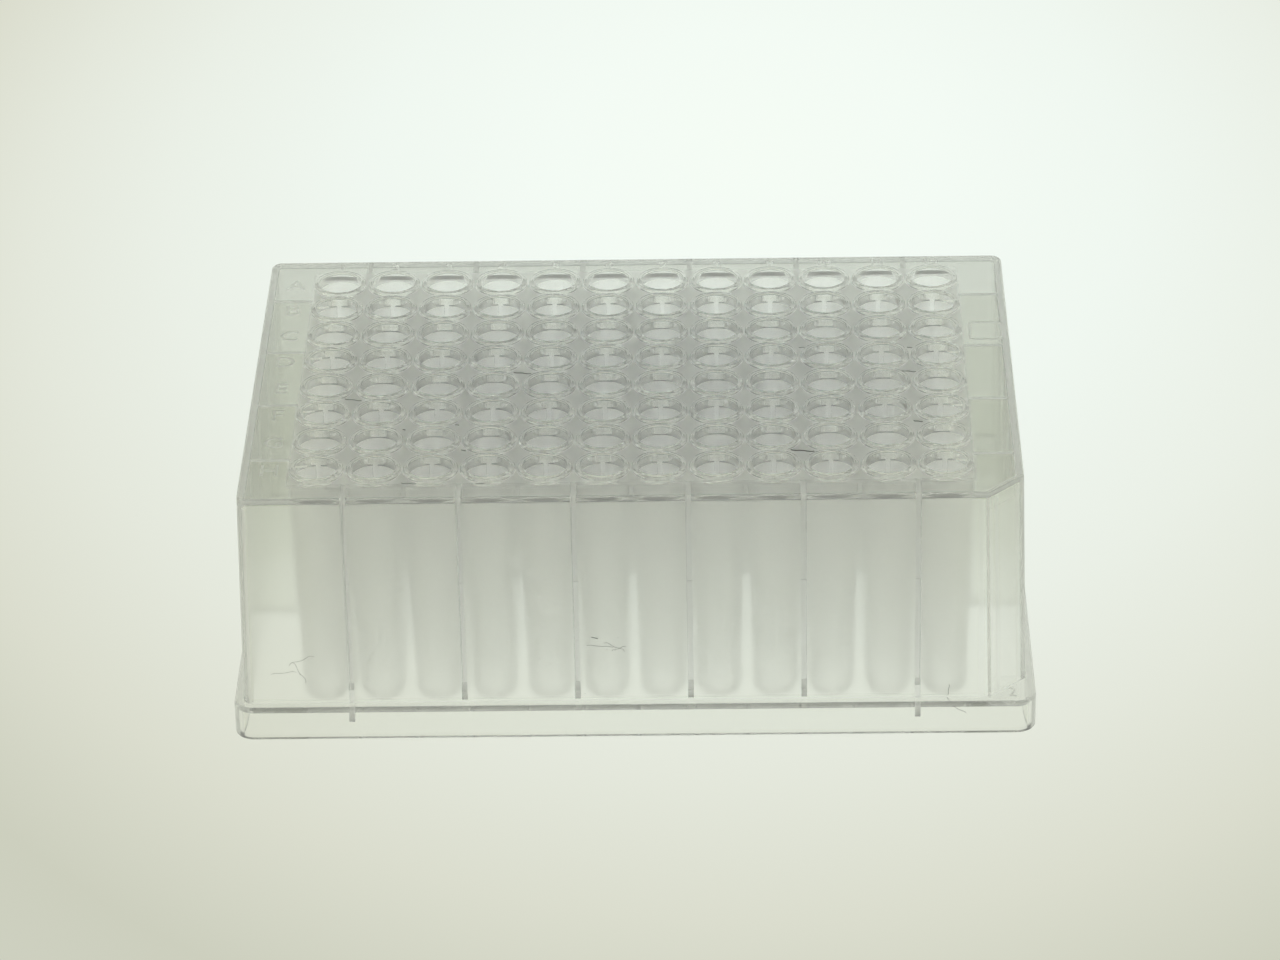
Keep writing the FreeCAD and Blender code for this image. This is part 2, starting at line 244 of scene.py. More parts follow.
# %% Hollow it out from below
inner_corner = SKIRT_CORNER - SKIRT_WALL
skirt_hollow = skirt_block("skirt_hollow", SKIRT_WALL, -PAST, LEDGE_UNDER, inner_corner)
combine(shell, skirt_hollow, "DIFFERENCE")
inner_cut = CORNER_CUT - (2 - math.sqrt(2)) * BOX_WALL
hollow = box_block("hollow", BOX_WALL, -PAST, DECK_UNDER, BOX_CORNER - BOX_WALL, inner_cut)
round_rim_at(hollow, DECK_UNDER, 0.3 * MM, 2)
combine(shell, hollow, "DIFFERENCE")
print("shell:", len(shell.data.polygons), "faces")

# %% [markdown]
# Thin ribs tie the outer wells to the walls, in every second gap between columns and between
# rows. They are plain slabs. Where a rib meets a leaning wall, its far end is moved to follow
# the wall, and it ends inside the wall's thickness.

# %% Ribs
def around(middle, thickness):
    """The range that a slab of some thickness takes up about its middle."""
    return (middle - thickness / 2, middle + thickness / 2)


def slab(name, x_range, y_range, z_range):
    """A block between two values of x, y and z."""
    (x0, x1), (y0, y1), (z0, z1) = x_range, y_range, z_range
    bpy.ops.object.select_all(action="DESELECT")
    middle = ((x0 + x1) / 2, (y0 + y1) / 2, (z0 + z1) / 2)
    bpy.ops.mesh.primitive_cube_add(size=1, location=middle)
    piece = bpy.context.object
    piece.name = name
    piece.scale = (x1 - x0, y1 - y0, z1 - z0)
    bpy.ops.object.transform_apply(location=True, rotation=True, scale=True)
    return piece


def rib_to_wall(name, axis, sign, along, foot):
    """A rib from the outer wells to a wall, upright, in line with a gap between wells."""
    across = BOX_LENGTH if axis == 0 else BOX_WIDTH
    inner = LAST_COLUMN + 2 * MM if axis == 0 else LAST_ROW
    at_foot = wall_reach(across, foot, BOX_WALL / 2)
    at_top = wall_reach(across, RIB_TOP, BOX_WALL / 2)
    reach = sorted((sign * inner, sign * at_foot))
    width = around(along, RIB_THICKNESS)
    ranges = (reach, width) if axis == 0 else (width, reach)
    piece = slab(name, *ranges, (foot, RIB_TOP))
    for corner in piece.data.vertices:
        if corner.co.z > foot + 1 * MM and abs(corner.co[axis]) > inner + 1 * MM:
            corner.co[axis] = sign * at_top
    return piece


ribs = []
outer_x, outer_y = (COLUMNS - 2) / 2 * PITCH, (ROWS - 2) / 2 * PITCH
for number in range(COLUMNS // 2):
    for sign in (-1, 1):
        ribs.append(rib_to_wall("rib", 1, sign, -outer_x + number * 2 * PITCH, RIB_FOOT))
for number in range(ROWS // 2):
    for sign in (-1, 1):
        ribs.append(rib_to_wall("rib", 0, sign, -outer_y + number * 2 * PITCH, SIDE_RIB_FOOT))
print("ribs:", len(ribs))

# %% [markdown]
# The outermost ribs at the front and the back run on down inside the skirt. Each foot is two
# slabs, one that lengthens the rib and one under the ledge, which ends inside the skirt's wall.

# %% Feet of the outermost ribs
ledge_middle = (LEDGE_TOP + LEDGE_UNDER) / 2
for x in (-outer_x, outer_x):
    for sign in (-1, 1):
        well_face = sign * (LAST_ROW + HEEL_RADIUS + WELL_WALL)
        at_wall = sign * wall_reach(BOX_WIDTH, RIB_FOOT, BOX_WALL / 2)
        in_skirt = sign * (BASE_WIDTH - SKIRT_WALL) / 2
        upper, lower = sorted((well_face, at_wall)), sorted((at_wall - sign * MM, in_skirt))
        thin = around(x, RIB_THICKNESS)
        ribs.append(slab("rib_foot", thin, upper, (LONG_RIB_FOOT, RIB_FOOT + MM)))
        ribs.append(slab("rib_foot", thin, lower, (LONG_RIB_FOOT, ledge_middle)))
print("ribs and feet:", len(ribs))

# %% [markdown]
# Each row of wells has one web along it. In every second gap between rows a short web ties each
# well to the one behind it, and starts a hundredth of a millimetre higher than the long ones.

# %% Webs between the wells
webs = []
for row in range(ROWS):
    y = -LAST_ROW + row * PITCH
    reach = (-LAST_COLUMN, LAST_COLUMN)
    webs.append(slab("row_web", reach, around(y, WEB_THICKNESS), (WEB_FOOT, ROW_WEB_TOP)))
for column in range(COLUMNS):
    x = -LAST_COLUMN + column * PITCH
    for pair in range(ROWS // 2):
        y = -LAST_ROW + 2 * pair * PITCH
        heights = (WEB_FOOT + 0.01 * MM, PAIR_WEB_TOP)
        webs.append(slab("pair_web", around(x, WEB_THICKNESS), (y, y + PITCH), heights))
for piece in ribs + webs:
    combine(shell, piece, "UNION")
print("shell with ribs and webs:", len(shell.data.polygons), "faces")

# %% [markdown]
# The mould also puts its marks on the plate: the rows' letters and the columns' numbers on the
# deck, the number of the mould's cavity on the ledge, and a small empty frame. They stand a
# fifth of a millimetre proud. Each word is a text object made into a mesh, merged, put in place
# and joined on.

# %% Raised words
CAPITAL_SHARE = 0.69


def raised_text(words, cap_height, squeeze, place):
    """A line of raised text centred at a place, facing up, with the height of its capitals."""
    bpy.ops.object.select_all(action="DESELECT")
    bpy.ops.object.text_add(location=(0, 0, 0))
    piece = bpy.context.object
    piece.data.body = words
    piece.data.size = cap_height / CAPITAL_SHARE
    piece.data.extrude = MARK_HEIGHT
    piece.data.resolution_u = 2
    piece.data.align_x = "CENTER"
    piece.data.align_y = "CENTER"
    bpy.ops.object.convert(target="MESH")
    piece.scale.x = squeeze
    piece.location = place
    bpy.ops.object.transform_apply(location=True, rotation=True, scale=True)
    bpy.ops.object.mode_set(mode="EDIT")
    bpy.ops.mesh.select_all(action="SELECT")
    bpy.ops.mesh.remove_doubles(threshold=0.001 * MM)
    leave_edit()
    return piece


# %% [markdown]
# The empty frame is a rounded block with a smaller one taken out, which leaves a thin line.

# %% Row letters, column numbers, cavity number and the empty frame
def raised_frame(x_range, y_range, corner, line):
    """A thin rounded frame on the deck: a rounded block with a smaller one taken out."""
    middle = ((x_range[0] + x_range[1]) / 2, (y_range[0] + y_range[1]) / 2, 0)
    blocks = []
    for inset, depth in ((0, MARK_HEIGHT), (line, 2 * MARK_HEIGHT)):
        length = x_range[1] - x_range[0] - 2 * inset
        width = y_range[1] - y_range[0] - 2 * inset
        piece = block("frame", length, width, DECK_TOP - depth, DECK_TOP + depth)
        least = 0.5 * depth
        select_where(piece, "edges", lambda ends: abs(ends[0].z - ends[1].z) > least)
        bpy.ops.mesh.bevel(offset=corner - inset, segments=5, affect="EDGES")
        leave_edit()
        blocks.append(piece)
    combine(blocks[0], blocks[1], "DIFFERENCE")
    blocks[0].location = middle
    use_only(blocks[0])
    bpy.ops.object.transform_apply(location=True, rotation=True, scale=True)
    return blocks[0]


LETTERS_X, LETTER_CAP = -56.9 * MM, 3.3 * MM
NUMBERS_Y, NUMBER_CAP = 37.7 * MM, 2.0 * MM
CAVITY_PLACE, CAVITY_CAP = (60.1 * MM, -39.9 * MM, LEDGE_TOP), 2.4 * MM
FRAME_X, FRAME_Y = (54.9 * MM, 60.5 * MM), (9.9 * MM, 16.1 * MM)
FRAME_CORNER, FRAME_LINE = 0.9 * MM, 0.35 * MM
marks = []
for row in range(ROWS):
    spot = (LETTERS_X, LAST_ROW - row * PITCH, DECK_TOP)
    marks.append(raised_text("ABCDEFGH"[row], LETTER_CAP, 1.0, spot))
for column in range(COLUMNS):
    spot = (column * PITCH - LAST_COLUMN, NUMBERS_Y, DECK_TOP)
    marks.append(raised_text(str(column + 1), NUMBER_CAP, 1.0, spot))
marks.append(raised_text("2", CAVITY_CAP, 0.8, CAVITY_PLACE))
marks.append(raised_frame(FRAME_X, FRAME_Y, FRAME_CORNER, FRAME_LINE))
for piece in marks:
    combine(shell, piece, "UNION")
print("marks:", len(marks))

# %% [markdown]
# A well is round, so it starts as a flat disc at its mouth and is pulled down ring by ring: each
# extrusion is followed by a resize to the next radius. The outside and the bore are two such
# solids. The bottom is a round bowl, and the last ring is merged into its pole.

# %% One well's outside and its bore
def turned(name, rings):
    """A round solid through (radius, height) rings from the top down, closed with a pole."""
    radius, height = rings[0]
    bpy.ops.object.select_all(action="DESELECT")
    bpy.ops.mesh.primitive_circle_add(
        vertices=ROUND_SIDES, radius=radius, fill_type="NGON", location=(0, 0, height)
    )
    piece = bpy.context.object
    piece.name = name
    bpy.ops.object.transform_apply(location=True, rotation=True, scale=True)
    bpy.ops.object.mode_set(mode="EDIT")
    bpy.ops.mesh.select_all(action="SELECT")
    for radius_below, height_below in rings[1:]:
        bpy.ops.mesh.extrude_region_move(
            TRANSFORM_OT_translate={"value": (0, 0, height_below - height)}
        )
        ratio = radius_below / radius
        bpy.ops.transform.resize(value=(ratio, ratio, 1), center_override=(0, 0, height_below))
        radius, height = radius_below, height_below
    bpy.ops.mesh.merge(type="CENTER")
    bpy.ops.mesh.select_all(action="SELECT")
    bpy.ops.mesh.normals_make_consistent(inside=False)
    leave_edit()
    return piece


NEAR_POLE = 0.985


def bowl(radius, depth, height, steps):
    """Rings of half an ellipse below a height, ending just short of its pole."""
    turns = [math.pi / 2 * step / steps for step in range(1, steps)]
    turns.append(math.pi / 2 * NEAR_POLE)
    return [(radius * math.cos(turn), height - depth * math.sin(turn)) for turn in turns]


OUTER_MOUTH = MOUTH_RADIUS + WELL_WALL
OUTER_HEEL = HEEL_RADIUS + WELL_WALL
BORE_HEEL_HEIGHT = FLOOR_HEIGHT + HEEL_RADIUS
outside_rings = [
    (OUTER_MOUTH - LIP, RIM_TOP),
    (OUTER_MOUTH - 0.3 * LIP, RIM_TOP - 0.3 * LIP),
    (OUTER_MOUTH, RIM_TOP - LIP),
    (OUTER_MOUTH, DECK_TOP + 0.15 * MM),
    (OUTER_MOUTH + 0.12 * MM, DECK_TOP - 0.02 * MM),
    (OUTER_MOUTH, DECK_TOP - 0.4 * MM),
    (OUTER_HEEL, HEEL_HEIGHT),
] + bowl(OUTER_HEEL, HEEL_HEIGHT - TIP_HEIGHT, HEEL_HEIGHT, 5)
bore_rings = [
    (MOUTH_RADIUS + LIP + 0.1 * MM, RIM_TOP + 0.1 * MM),
    (MOUTH_RADIUS + LIP, RIM_TOP),
    (MOUTH_RADIUS + 0.3 * LIP, RIM_TOP - 0.3 * LIP),
    (MOUTH_RADIUS, RIM_TOP - LIP),
    (HEEL_RADIUS, BORE_HEEL_HEIGHT),
] + bowl(HEEL_RADIUS, HEEL_RADIUS, BORE_HEEL_HEIGHT, 5)
outside = turned("well_outsides", outside_rings)
bore = turned("well_bores", bore_rings)
print("one well:", len(outside.data.polygons), "faces outside,", len(bore.data.polygons), "inside")

# %% [markdown]
# Two arrays repeat the well along the row and then the row across the plate. The outsides are
# joined to the shell first and the bores cut last, so each bore also goes through the webs.

# %% All the wells
def repeat(piece):
    """Repeats a well over the whole grid."""
    for axis, count in ((0, COLUMNS), (1, ROWS)):
        modifier = piece.modifiers.new("repeat", "ARRAY")
        modifier.count = count
        modifier.use_relative_offset = False
        modifier.use_constant_offset = True
        offset = [0, 0, 0]
        offset[axis] = PITCH
        modifier.constant_offset_displace = offset
        apply_modifier(piece, modifier)
    use_only(piece)
    bpy.ops.transform.translate(value=(-LAST_COLUMN, -LAST_ROW, 0))
    bpy.ops.object.transform_apply(location=True, rotation=True, scale=True)


for piece, operation in ((outside, "UNION"), (bore, "DIFFERENCE")):
    repeat(piece)
    combine(shell, piece, operation)
    print("after", operation.lower(), len(shell.data.polygons), "faces")
shell.data.calc_loop_triangles()
print("plate:", len(shell.data.loop_triangles), "triangles")

# %% [markdown]
# Faces that meet at a shallow angle are shaded as one curve. Normals weighted by the faces'
# areas keep the flat walls flat right up to their rounded edges.

# %% Smooth shading
use_only(shell)
bpy.ops.object.shade_smooth_by_angle(angle=math.radians(32))
weighted = shell.modifiers.new("even shading", "WEIGHTED_NORMAL")
weighted.keep_sharp = True
apply_modifier(shell, weighted)

# %% [markdown]
# How the plate, the table and the light look is set by a few numbers. The roughness of the
# plate's faces comes first, then the tint of its walls and of its wells, the haze inside, the
# room and the lamp. The table's glow is painted light, a pool that runs outward from its brightest
# place.

# %% Numbers for the looks
SMOOTH, RIM_ROUGH, DECK_ROUGH = 0.03, 0.26, 0.28
WALL_ROUGH, MARK_ROUGH, WELL_ROUGH = 0.31, 0.5, 0.57
WALL_TINT, WELL_TINT = (0.945, 0.95, 0.92, 1), (1, 1, 1, 1)
HAZE, FORWARD, HAZE_COLOUR = 135, 0.7, (0.99, 0.99, 0.97, 1)
ROOM, ROOM_SEEN, ROOM_LOW, LAMP = 0.5, 0.12, (0.85, 0.88, 0.83, 1), 4.0
TABLE_MATT = (0.85, 0.87, 0.83, 1)
# Painted light on the table: the middle of a painted pool of light, and the glow's colours outward
# from it, dimmer and yellower.
PAINTED_GLOW_MIDDLE = (19 * MM, 165 * MM, 0)
TABLE_REACH, TABLE_STRETCH, TABLE_GAP = 0.6, 1.62, 0.03 * MM
PAINTED_GLOW_COLOURS = [
    (0.0, (0.912, 0.974, 0.908)),
    (0.1, (0.900, 0.965, 0.905)),
    (0.2, (0.870, 0.933, 0.872)),
    (0.3, (0.824, 0.868, 0.792)),
    (0.3667, (0.776, 0.804, 0.713)),
    (0.4333, (0.708, 0.723, 0.617)),
    (0.5, (0.607, 0.623, 0.515)),
    (0.6, (0.62, 0.64, 0.54)),
    (1.0, (0.85, 0.88, 0.83)),
]
print("looks: haze", HAZE, "a metre, well outsides' roughness", WELL_ROUGH)

# %% [markdown]
# Materials are built as sums over the object's own coordinates. A few short helpers write them:
# a node, a sum on two sockets, a smooth step, and two that put masks together.

# %% Helpers for materials
plastic = bpy.data.materials.new("clear_polypropylene")
plastic.use_nodes = True
nodes, links = plastic.node_tree.nodes, plastic.node_tree.links


def add(kind, **settings):
    """A node with some of its properties set."""
    node = nodes.new(kind)
    for name, value in settings.items():
        setattr(node, name, value)
    return node


def math_of(operation, first, second=None):
    """The result of a sum on two sockets or numbers."""
    node = add("ShaderNodeMath", operation=operation)
    for index, value in enumerate((first, second)):
        if isinstance(value, (int, float)):
            node.inputs[index].default_value = value
        elif value is not None:
            links.new(value, node.inputs[index])
    return node.outputs[0]


def fade(value, start, end, low=0.0, high=1.0, way="SMOOTHSTEP"):
    """Runs smoothly from low to high while a value goes from start to end."""
    node = add("ShaderNodeMapRange", interpolation_type=way)
    node.inputs["From Min"].default_value = start
    node.inputs["From Max"].default_value = end
    node.inputs["To Min"].default_value = low
    node.inputs["To Max"].default_value = high
    links.new(value, node.inputs["Value"])
    return node.outputs[0]


def both(first, second):
    """One where two masks overlap."""
    return math_of("MULTIPLY", first, second)


def either(first, second):
    """One where at least one of two masks is."""
    return math_of("MAXIMUM", first, second)


# %% [markdown]
# Natural polypropylene lets light through and clouds it a little. A wall on its own is nearly
# clear, and row behind row of wells goes milky. The walls outside and the bores are smooth from
# polished steel. The deck between the wells is duller. The outsides of the wells are roughest,
# because no one sees those parts of a mould and they are left as the spark cut them. Masks made
# of the object's own coordinates tell them apart. The wells are 9 mm apart, so a remainder of x
# and of y gives how far each point is from a well's axis.

# %% The plastic: masks for the wells
where = add("ShaderNodeTexCoord").outputs["Object"]
split = add("ShaderNodeSeparateXYZ")
links.new(where, split.inputs[0])
x, y, z = split.outputs
NEAR, FAR = 4.2 * MM, 5.5 * MM
in_columns = fade(math_of("ABSOLUTE", x), LAST_COLUMN + FAR, LAST_COLUMN + NEAR)
in_rows = fade(math_of("ABSOLUTE", y), LAST_ROW + FAR, LAST_ROW + NEAR)
in_grid = both(in_columns, in_rows)
off_grid = math_of("SUBTRACT", 1.0, in_grid)
off_column = math_of("SUBTRACT", math_of("FLOORED_MODULO", x, PITCH), PITCH / 2)
off_row = math_of("SUBTRACT", math_of("FLOORED_MODULO", y, PITCH), PITCH / 2)
column_square = math_of("MULTIPLY", off_column, off_column)
row_square = math_of("MULTIPLY", off_row, off_row)
from_axis = math_of("SQRT", math_of("ADD", column_square, row_square))
heel_middle, mouth_middle = HEEL_RADIUS + WELL_WALL / 2, MOUTH_RADIUS + WELL_WALL / 2
wall_middle = fade(z, HEEL_HEIGHT, RIM_TOP, heel_middle, mouth_middle, "LINEAR")
past_middle = math_of("SUBTRACT", from_axis, wall_middle)
outside_bores = fade(past_middle, -0.1 * MM, 0.1 * MM)
below_deck = fade(z, DECK_UNDER + 0.4 * MM, DECK_UNDER - 0.4 * MM)
below_rims = fade(z, DECK_TOP + 0.2 * MM, DECK_TOP + 0.05 * MM)
above_deck = fade(z, DECK_TOP + 0.05 * MM, DECK_TOP + 0.2 * MM)
among_wells = both(in_grid, below_deck)
on_wells = both(among_wells, outside_bores)
level_with_deck = both(math_of("SUBTRACT", 1.0, below_deck), below_rims)
on_deck_grid = both(in_grid, both(level_with_deck, outside_bores))
on_rims = both(in_grid, both(above_deck, outside_bores))
print("masks of the wells:", len(nodes), "nodes")

# %% [markdown]
# The insides of the box's walls carry the steel core's drag marks, so what stands behind them
# looks soft, while the ribs, which grow out of the wall, stay sharp. How deep a point lies
# behind the leaning outer face tells where the inner face is, on the four walls and across the
# cut corner. Raised marks are frosted on the mould, and they are all that rises above the deck's
# margins and just above the ledge.

# %% The plastic: masks for the inner walls and the marks
def behind_wall(reach, coordinate):
    """One where a point lies about a wall's thickness behind the leaning outer face."""
    lean = math_of("MULTIPLY", math_of("SUBTRACT", z, LEDGE_TOP), WALL_LEAN)
    depth = math_of("SUBTRACT", math_of("SUBTRACT", reach, lean), coordinate)
    past_half = fade(depth, 0.5 * BOX_WALL, 0.8 * BOX_WALL)
    return both(past_half, fade(depth, 1.5 * BOX_WALL, 1.2 * BOX_WALL))


DIAGONAL = math.sqrt(0.5)
behind_long = behind_wall(BOX_WIDTH / 2, math_of("ABSOLUTE", y))
behind_short = behind_wall(BOX_LENGTH / 2, math_of("ABSOLUTE", x))
to_cut = math_of("MULTIPLY", math_of("SUBTRACT", x, y), DIAGONAL)
behind_cut = behind_wall((BOX_LENGTH / 2 + BOX_WIDTH / 2 - CORNER_CUT) * DIAGONAL, to_cut)
above_ledge = fade(z, LEDGE_TOP, LEDGE_TOP + 0.5 * MM)
behind_walls = either(either(behind_long, behind_short), behind_cut)
on_inner_walls = both(behind_walls, both(above_ledge, below_deck))
over_deck = fade(z, DECK_TOP, DECK_TOP + 0.05 * MM)
off_ledge = fade(z, LEDGE_TOP, LEDGE_TOP + 0.05 * MM)
over_ledge = both(off_ledge, fade(z, LEDGE_TOP + 0.4 * MM, LEDGE_TOP + 0.3 * MM))
on_marks = both(off_grid, either(over_deck, over_ledge))
print("and of the walls and marks:", len(nodes), "nodes")

# %% [markdown]
# Flow marks and handling keep the surface from being the same all over. One noise varies the
# roughness, another bends the faces by a few hundredths of a millimetre, as moulded walls do.

# %% The plastic: roughness and waviness
def noise(scale, detail, stretch=(1, 1, 1)):
    """Noise over the piece. The stretch sets how long its clouds are each way."""
    mapping = add("ShaderNodeMapping")
    mapping.inputs["Scale"].default_value = stretch
    links.new(where, mapping.inputs["Vector"])
    node = add("ShaderNodeTexNoise")
    node.inputs["Scale"].default_value = scale
    node.inputs["Detail"].default_value = detail
    links.new(mapping.outputs[0], node.inputs["Vector"])
    return node.outputs["Fac"]


skin = nodes["Principled BSDF"]
cloud = fade(noise(60, 2), 0.35, 0.75, 0.0, 0.05)
finish = math_of("ADD", cloud, SMOOTH)
for mask, rough in (
    (on_wells, WELL_ROUGH),
    (on_deck_grid, DECK_ROUGH),
    (on_rims, RIM_ROUGH),
    (on_inner_walls, WALL_ROUGH),
    (on_marks, MARK_ROUGH),
):
    finish = either(finish, math_of("MULTIPLY", mask, rough))
links.new(finish, skin.inputs["Roughness"])
bump = add("ShaderNodeBump")
bump.inputs["Strength"].default_value = 0.25
bump.inputs["Distance"].default_value = 0.05 * MM
links.new(noise(70, 0, (1, 1, 0.5)), bump.inputs["Height"])
links.new(bump.outputs[0], skin.inputs["Normal"])
print("and of the skin:", len(nodes), "nodes")

# %% [markdown]
# The haze is all through the plastic, not on it, so it is a volume: light that goes in is turned
# a little every few millimetres and mostly goes on forward. Thin walls stay nearly clear and the
# stack of wells goes milky by itself. The walls' faces take a faint warm tint.

# %% The plastic: colour and haze inside
clean = add("ShaderNodeMix", data_type="RGBA")
clean.inputs["A"].default_value = WALL_TINT
clean.inputs["B"].default_value = WELL_TINT
links.new(among_wells, clean.inputs["Factor"])
links.new(clean.outputs["Result"], skin.inputs["Base Color"])
skin.inputs["Transmission Weight"].default_value = 1.0
skin.inputs["IOR"].default_value = 1.49
haze = add("ShaderNodeVolumeScatter")
haze.inputs["Color"].default_value = HAZE_COLOUR
haze.inputs["Density"].default_value = HAZE
haze.inputs["Anisotropy"].default_value = FORWARD
links.new(haze.outputs[0], nodes["Material Output"].inputs["Volume"])
shell.data.materials.clear()
shell.data.materials.append(plastic)
shell.name = "clear_plate"
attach(shell, "root")
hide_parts("well_plate")
print("clear plate:", len(nodes), "nodes in its material")

# %% [markdown]
# The plate has been handled, so a few things lie on it. They are of dark lint, whose shade a
# fine noise varies.

# %% Lint
lint = bpy.data.materials.new("lint")
lint.use_nodes = True
nodes, links = lint.node_tree.nodes, lint.node_tree.links
where = add("ShaderNodeTexCoord").outputs["Object"]
shades = add("ShaderNodeMix", data_type="RGBA")
shades.inputs["A"].default_value = (0.03, 0.03, 0.028, 1)
shades.inputs["B"].default_value = (0.16, 0.15, 0.13, 1)
links.new(noise(1800, 2), shades.inputs["Factor"])
links.new(shades.outputs["Result"], nodes["Principled BSDF"].inputs["Base Color"])
nodes["Principled BSDF"].inputs["Roughness"].default_value = 0.8
print("lint:", len(nodes), "nodes")

# %% [markdown]
# Crumbs and threads lie between the wells, a hair hangs over the ledge, and fibres and specks
# cling low on the front wall. Each is a path through five points, pushed aside in turn to curl
# it, given a thickness and made a mesh. It curls in the plane of the face that it lies on.

# %% Crumbs and threads
PUSHES = (0, 1.6, -1.9, 1.7, 0)
ON_DECK = DECK_TOP / MM + 0.09
UP, FORWARDS = Vector((0, 0, 1)), Vector((0, 1, 0))


def thread(start, end, curl, thickness, lies_on):
    """A thin bent tube between two points, all in millimetres. Returns the piece."""
    start, end = Vector(start) * MM, Vector(end) * MM
    aside = (end - start).cross(lies_on).normalized() * curl * MM
    bpy.ops.object.select_all(action="DESELECT")
    bpy.ops.curve.primitive_nurbs_path_add(radius=1, location=(0, 0, 0))
    piece = bpy.context.object
    for step, point in enumerate(piece.data.splines[0].points):
        point.co = (*start.lerp(end, step / 4) + aside * PUSHES[step], 1)
    piece.data.bevel_depth = thickness / 2 * MM
    piece.data.bevel_resolution = 1
    piece.data.resolution_u = 4
    piece.data.use_fill_caps = True
    bpy.ops.object.convert(target="MESH")
    return piece


def on_front(x_place, z_place):
    """A point just off the front wall, in millimetres, at a place across and up."""
    return (x_place, -wall_reach(BOX_WIDTH, z_place * MM) / MM - 0.03, z_place)


deck_threads = [
    ((-19.4, 0.3), (-16.6, -0.2), 0.32, 0.136),
    ((43.6, -0.5), (45.8, -0.9), 0.32, 0.124),
    ((44.9, -17.3), (46.3, -17.6), 0.24, 0.112),
    ((25.2, -26.3), (28.9, -26.9), 0.4, 0.161),
    ((-46.4, -8.1), (-43.7, -8.7), 0.3, 0.1),
    ((-36.5, -18.4), (-36.1, -18.6), 0.08, 0.124),
    ((-35.9, -35.7), (-33.6, -35.9), 0.32, 0.087),
    ((-28.2, -17.0), (-27.6, -17.2), 0.13, 0.112),
    ((-26.9, -25.3), (-26.2, -25.6), 0.13, 0.112),
    ((-24.2, -36.0), (-22.9, -36.1), 0.19, 0.093),
    ((44.7, 7.5), (45.5, 7.3), 0.16, 0.124),
    ((27.0, 7.8), (28.3, 7.9), 0.19, 0.099),
]
ledge_threads = [
    (on_front(49.9, 8.2), on_front(49.7, 6.3), 0.3, 0.07),
    ((49.6, -41.4, 5.95), (50.3, -42.55, 5.6), 0.1, 0.07),
    ((50.4, -42.6, 5.0), (52.6, -42.66, 3.8), 0.3, 0.07),
]
wall_threads = [
    ((-57.6, 11.2), (-53.6, 11.6), 0.45, 0.04),
    ((-54.6, 12.8), (-50.6, 14.4), 0.9, 0.04),
    ((-54.2, 13.4), (-52.2, 9.6), 0.75, 0.04),
    ((-7.4, 16.0), (-3.2, 15.6), 0.24, 0.045),
    ((-4.6, 16.4), (-1.4, 14.8), 0.64, 0.045),
    ((-3.4, 14.9), (-1.2, 15.7), 0.48, 0.045),
    ((-6.6, 17.5), (-5.6, 17.2), 0.1, 0.09),
]
dust = []
for start, end, curl, thickness in deck_threads:
    dust.append(thread((*start, ON_DECK), (*end, ON_DECK), curl, thickness, UP))
for start, end, curl, thickness in ledge_threads:
    dust.append(thread(start, end, curl, thickness, FORWARDS))
for start, end, curl, thickness in wall_threads:
    dust.append(thread(on_front(*start), on_front(*end), curl, thickness, FORWARDS))
print("threads:", len(dust))

# %% [markdown]
# The specks are tiny balls on the front wall. They and the threads are joined into one piece.

# %% Specks, and all of it as one piece
specks = [(-2.4, 17.4), (-4.2, 15.2), (-2.9, 15.1), (-14.9, 13.6), (-13.2, 12.7), (-12.3, 13.4)]
specks += [(-55.6, 14.3), (-53.0, 11.2), (-50.2, 12.2), (-7.8, 7.2)]
for speck in specks:
    bpy.ops.object.select_all(action="DESELECT")
    spot = [value * MM for value in on_front(*speck)]
    bpy.ops.mesh.primitive_ico_sphere_add(subdivisions=1, radius=0.06 * MM, location=spot)
    dust.append(bpy.context.object)
use_only(dust[0])
for piece in dust:
    piece.select_set(True)
bpy.ops.object.join()
bpy.ops.object.transform_apply(location=True, rotation=True, scale=True)
crumbs = bpy.context.object
crumbs.name = "crumbs_and_threads"
crumbs.data.materials.clear()
crumbs.data.materials.append(lint)
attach(crumbs, "root")
print("crumbs and threads:", len(crumbs.data.polygons), "faces")

# %% [markdown]
# The plate stands on a pale table. What is seen of the table, also through the plastic or
# mirrored in it, is a glow whose colour runs outward through a ramp: a painted pool of light,
# brightest behind the plate and dimmer and yellower towards the front. To all other light the
# table is matt.

# %% The table
def seen_rays():
    """One for the rays that show a thing as it is: seen, mirrored or through the plastic."""
    path = add("ShaderNodeLightPath")
    seen = either(path.outputs["Is Camera Ray"], path.outputs["Is Glossy Ray"])
    return either(seen, path.outputs["Is Transmission Ray"])


bpy.ops.object.select_all(action="DESELECT")
bpy.ops.mesh.primitive_plane_add(size=6, location=(0, 0, -TABLE_GAP))
table = bpy.context.object
table.name = "table"
pale = bpy.data.materials.new("pale_table")
pale.use_nodes = True
nodes, links = pale.node_tree.nodes, pale.node_tree.links
nodes.clear()
outward = add("ShaderNodeMapping", vector_type="TEXTURE")
outward.inputs["Location"].default_value = PAINTED_GLOW_MIDDLE
outward.inputs["Scale"].default_value = (TABLE_REACH / TABLE_STRETCH, TABLE_REACH, 1)
links.new(add("ShaderNodeTexCoord").outputs["Object"], outward.inputs["Vector"])
distance = add("ShaderNodeVectorMath", operation="LENGTH")
links.new(outward.outputs[0], distance.inputs[0])
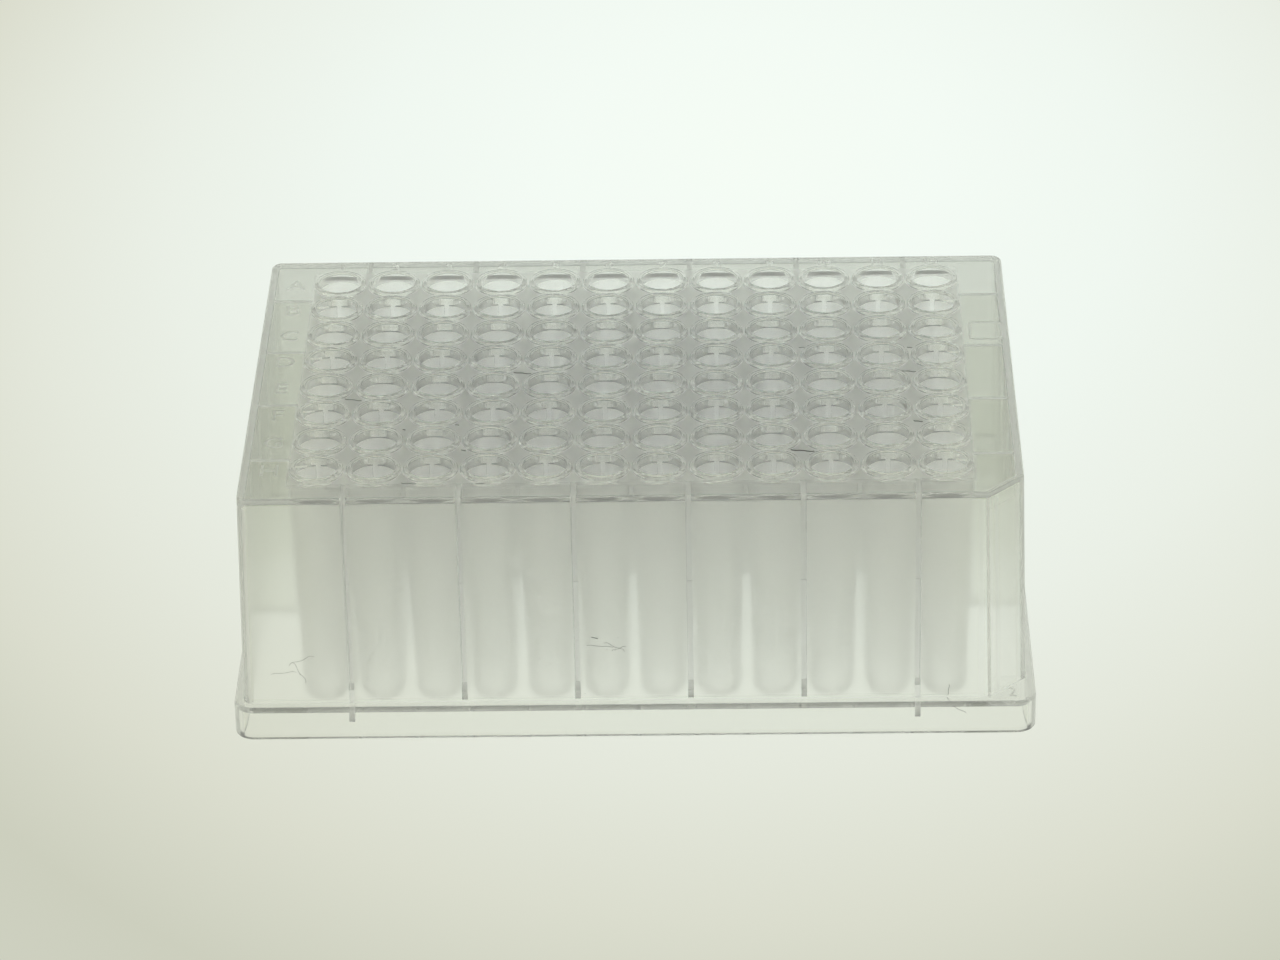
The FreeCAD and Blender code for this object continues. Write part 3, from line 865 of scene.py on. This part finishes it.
# The ramp paints the pool of light: brightest behind the plate, dimmer and yellower towards the
# front.
ramp = add("ShaderNodeValToRGB")
ramp.color_ramp.interpolation = "LINEAR"
steps = ramp.color_ramp.elements
for share, colour in PAINTED_GLOW_COLOURS:
    step = steps[0] if share == 0 else steps[-1] if share == 1 else steps.new(share)
    step.color = (*colour, 1)
links.new(distance.outputs["Value"], ramp.inputs["Fac"])
glow = add("ShaderNodeEmission")
links.new(ramp.outputs["Color"], glow.inputs["Color"])
matt = add("ShaderNodeBsdfDiffuse")
matt.inputs["Color"].default_value = TABLE_MATT
mix = add("ShaderNodeMixShader")
links.new(seen_rays(), mix.inputs[0])
links.new(matt.outputs[0], mix.inputs[1])
links.new(glow.outputs[0], mix.inputs[2])
links.new(mix.outputs[0], add("ShaderNodeOutputMaterial").inputs["Surface"])
pale.cycles.emission_sampling = "NONE"
table.data.materials.append(pale)
print("table:", len(PAINTED_GLOW_COLOURS), "colours")

# %% [markdown]
# A plain soft room and a square lamp overhead light the plate evenly. What the plastic shows of
# the room in its faces is a dim room over a bright table: pale near the table and dark higher
# up. The dark part is what draws the edges, because they turn the view upward.

# %% The room
world = bpy.data.worlds.new("soft_room")
bpy.context.scene.world = world
world.use_nodes = True
nodes, links = world.node_tree.nodes, world.node_tree.links
room = nodes["Background"]
upward = add("ShaderNodeSeparateXYZ")
links.new(add("ShaderNodeTexCoord").outputs["Generated"], upward.inputs[0])
seen_room = add("ShaderNodeMix", data_type="RGBA")
seen_room.inputs["A"].default_value = ROOM_LOW
seen_room.inputs["B"].default_value = (ROOM_SEEN, ROOM_SEEN, ROOM_SEEN, 1)
links.new(fade(upward.outputs["Z"], 0.1, 0.3), seen_room.inputs["Factor"])
shown = add("ShaderNodeMix", data_type="RGBA")
shown.inputs["A"].default_value = (ROOM, ROOM, ROOM, 1)
links.new(seen_room.outputs["Result"], shown.inputs["B"])
links.new(seen_rays(), shown.inputs["Factor"])
links.new(shown.outputs["Result"], room.inputs["Color"])
world.cycles.sampling_method = "NONE"
print("room:", len(nodes), "nodes")

# %% [markdown]
# The lamp's own square would show in the deck, so mirror and see-through rays pass it by. Its
# light counts for first bounces only, because inside the plastic no ray finds the lamp.

# %% The lamp
lamp_data = bpy.data.lights.new("softbox", "AREA")
lamp_data.shape = "SQUARE"
lamp_data.size = 0.9
lamp_data.energy = LAMP
lamp = bpy.data.objects.new("softbox", lamp_data)
lamp.location = (0.1, -0.1, 1.0)
lamp.visible_glossy = False
lamp.visible_transmission = False
lamp_data.cycles.max_bounces = 1
bpy.context.scene.collection.objects.link(lamp)
print("lamp:", LAMP, "W")

# %% [markdown]
# A long lens from well above keeps the box's edges nearly parallel.

# %% The camera
camera_data = bpy.data.cameras.new("camera")
camera_data.lens = 146.7
camera_data.sensor_width = 36
camera = bpy.data.objects.new("camera", camera_data)
camera.location = (16.6 * MM, -744.8 * MM, 445.8 * MM)
camera.rotation_euler = [math.radians(angle) for angle in (60.40, 1.04, 0.63)]
bpy.context.scene.collection.objects.link(camera)
bpy.context.scene.camera = camera
bpy.context.scene.view_settings.view_transform = "Standard"
print("camera:", round(camera.location.length, 3), "m away")

# %% [markdown]
# Light crosses dozens of faces on its way through the wells, so the paths may be long, and
# glossy blurring is off, because at every crossing it would swallow a little of the light.

# %% Path lengths
paths = bpy.context.scene.cycles
paths.max_bounces = 128
paths.transmission_bounces = 128
paths.glossy_bounces = 128
paths.diffuse_bounces = 32
paths.volume_bounces = 64
paths.blur_glossy = 0
print("longest path:", paths.max_bounces, "bounces")
